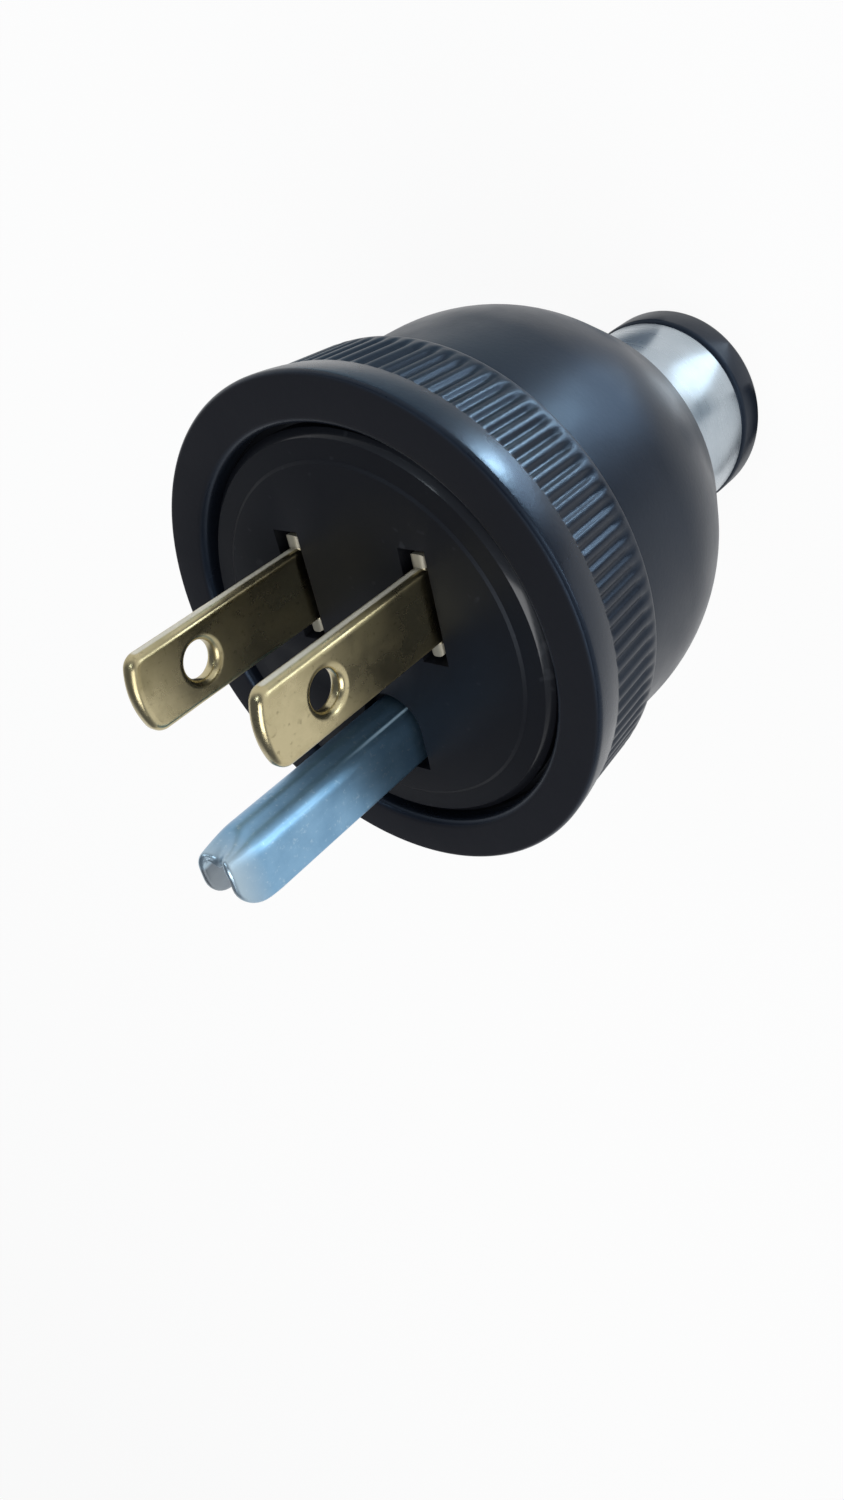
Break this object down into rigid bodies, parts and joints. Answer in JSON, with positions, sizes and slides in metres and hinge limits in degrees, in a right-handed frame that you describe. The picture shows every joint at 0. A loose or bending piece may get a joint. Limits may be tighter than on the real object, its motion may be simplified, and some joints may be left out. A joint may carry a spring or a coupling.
{
  "type": "three-pin plug",
  "caption": "Round rewirable mains plug: flat blades and a folded ground pin in a black core, bell-shaped ribbed cover, metal neck ring and cord inlet.",
  "frame": {"origin": "centre of the neck's end, at the outer mouth of the cord bore", "axes": "+Z along the pins, away from the neck; +X from the live blade to the neutral blade; +Y from the ground pin towards the blades"},
  "size_m": [0.0426, 0.0426, 0.072],
  "materials": {
    "cover_rubber": "moulded black, semi-gloss, matte on the rim",
    "core_plastic": "moulded black, glossy",
    "ring_metal": "satin silver",
    "blade_brass": "stamped, lightly tarnished",
    "pin_plate": "bright plating on folded sheet",
    "screw_brass": "bright",
    "screw_plated": "nickel plated",
    "screw_green": "green coating",
    "washer_zinc": "zinc plated"
  },
  "bodies": {
    "root": {"cover": "cover_rubber", "neck_ring": "ring_metal", "core": "core_plastic", "live_blade": "blade_brass", "neutral_blade": "blade_brass", "ground_pin": "pin_plate", "live_screw": "screw_brass", "neutral_screw": "screw_plated", "ground_screw": "screw_green", "live_washer": "washer_zinc", "neutral_washer": "washer_zinc", "ground_washer": "washer_zinc"}
  },
  "joints": []
}
